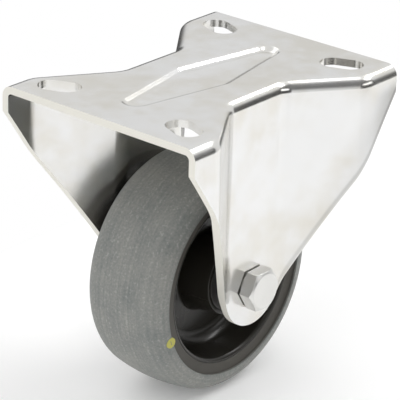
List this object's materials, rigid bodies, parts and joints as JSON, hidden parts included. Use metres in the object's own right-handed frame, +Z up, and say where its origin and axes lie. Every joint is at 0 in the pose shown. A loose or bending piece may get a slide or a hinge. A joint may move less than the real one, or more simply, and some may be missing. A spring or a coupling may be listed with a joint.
{
  "type": "fixed castor",
  "caption": "Fixed castor: a pressed sheet-steel bracket with a slotted top plate holds a wheel with a grey tyre and a black core on ball bearings round a clamped bolt.",
  "frame": {"origin": "centre of the top plate's top face", "axes": "+X along the rolling direction, +Y along the axle away from the bolt's head, +Z up"},
  "size_m": [0.1, 0.08, 0.107],
  "materials": {
    "zinc_sheet": "satin",
    "zinc_bolt": "satin",
    "nylon_ring": "satin",
    "plain_steel": "satin",
    "bearing_steel": "gloss",
    "cage_plastic": "matte",
    "seal_rubber": "satin",
    "core_plastic": "gloss",
    "tyre_rubber": "matte",
    "marker_yellow": "matte"
  },
  "bodies": {
    "frame": {"bracket": "zinc_sheet", "axle_bolt": "zinc_bolt", "lock_nut_body": "zinc_bolt", "lock_nut_ring": "nylon_ring", "spacer_tube": "plain_steel", "collar_near": "plain_steel", "collar_far": "plain_steel", "bearing_near_inner_ring": "bearing_steel", "bearing_far_inner_ring": "bearing_steel"},
    "wheel": {"wheel_core": "core_plastic", "tyre": "tyre_rubber", "marker_dot": "marker_yellow", "bearing_near_outer_ring": "bearing_steel", "bearing_far_outer_ring": "bearing_steel", "bearing_near_outer_seal": "seal_rubber", "bearing_near_inner_seal": "seal_rubber", "bearing_far_outer_seal": "seal_rubber", "bearing_far_inner_seal": "seal_rubber"},
    "cage_near": {"bearing_near_cage": "cage_plastic", "bearing_near_balls": "bearing_steel"},
    "cage_far": {"bearing_far_cage": "cage_plastic", "bearing_far_balls": "bearing_steel"}
  },
  "joints": [
    {"name": "wheel_spin", "type": "hinge", "parent": "frame", "child": "wheel", "pos_m": [0, 0, -0.067], "axis": [0, 1, 0], "continuous": true},
    {"name": "cage_near_spin", "type": "hinge", "parent": "frame", "child": "cage_near", "pos_m": [0, 0, -0.067], "axis": [0, 1, 0], "continuous": true},
    {"name": "cage_far_spin", "type": "hinge", "parent": "frame", "child": "cage_far", "pos_m": [0, 0, -0.067], "axis": [0, 1, 0], "continuous": true}
  ],
  "couplings": [
    {"joint": "cage_near_spin", "follows": "wheel_spin", "ratio": 0.6323},
    {"joint": "cage_far_spin", "follows": "wheel_spin", "ratio": 0.6323}
  ]
}
